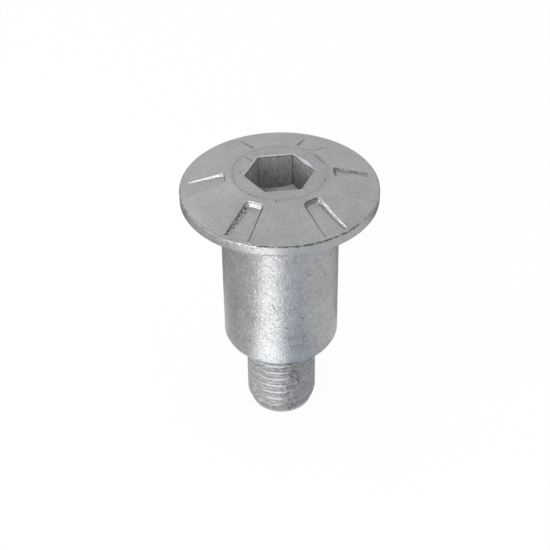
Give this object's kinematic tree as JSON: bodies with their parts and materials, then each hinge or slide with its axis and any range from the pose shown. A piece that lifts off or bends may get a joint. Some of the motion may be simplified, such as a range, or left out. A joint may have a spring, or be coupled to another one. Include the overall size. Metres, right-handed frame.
{
  "type": "side stand bolt",
  "caption": "Shoulder bolt with a wide domed head, hexagon socket and radial pockets, a plain bearing shoulder and a short threaded end.",
  "frame": {"origin": "centre of the threaded end's flat face, at the bottom of the upright bolt", "axes": "+Z along the bolt's axis towards the head, +X through the middle of one of the head's pockets, +Y completing a right-handed set"},
  "size_m": [0.0266, 0.0266, 0.0395],
  "materials": {
    "zinc_plated_steel": "dull zinc plating over forged and turned steel"
  },
  "bodies": {
    "root": {"side_stand_bolt": "zinc_plated_steel"}
  },
  "joints": []
}
